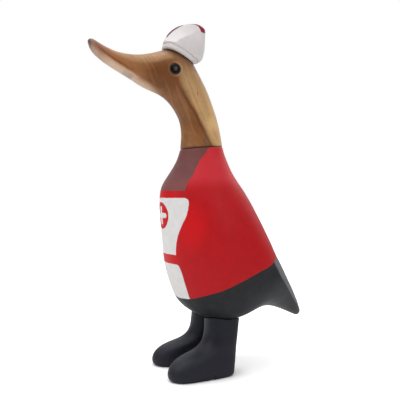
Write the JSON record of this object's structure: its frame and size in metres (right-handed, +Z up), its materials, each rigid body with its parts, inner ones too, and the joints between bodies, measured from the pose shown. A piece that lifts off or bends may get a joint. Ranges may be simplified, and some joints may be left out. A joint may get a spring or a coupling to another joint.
{
  "type": "wooden duck figurine",
  "caption": "Upright carved wooden duck ornament standing in boots, with a bare wood head and bill, small cap and painted coat, apron and trousers",
  "frame": {"origin": "on the ground, under the middle of the bounding box", "axes": "+Z up; the duck looks along -Y, so its tail points along +Y and its left side is at +X"},
  "size_m": [0.0944, 0.2278, 0.3477],
  "materials": {
    "body_paint": "satin brushed paint on wood: red coat, off-white apron, charcoal trousers, brown throat",
    "bare_wood": "satin clear lacquer over brown and golden grain",
    "cap_paint": "matte off-white paint with a maroon stripe",
    "eye_bead": "glossy black",
    "boot_paint": "matte bluish charcoal paint"
  },
  "bodies": {
    "root": {"body": "body_paint", "head": "bare_wood", "cap": "cap_paint", "eye_left": "eye_bead", "eye_right": "eye_bead", "boot_left": "boot_paint", "boot_right": "boot_paint"}
  },
  "joints": []
}
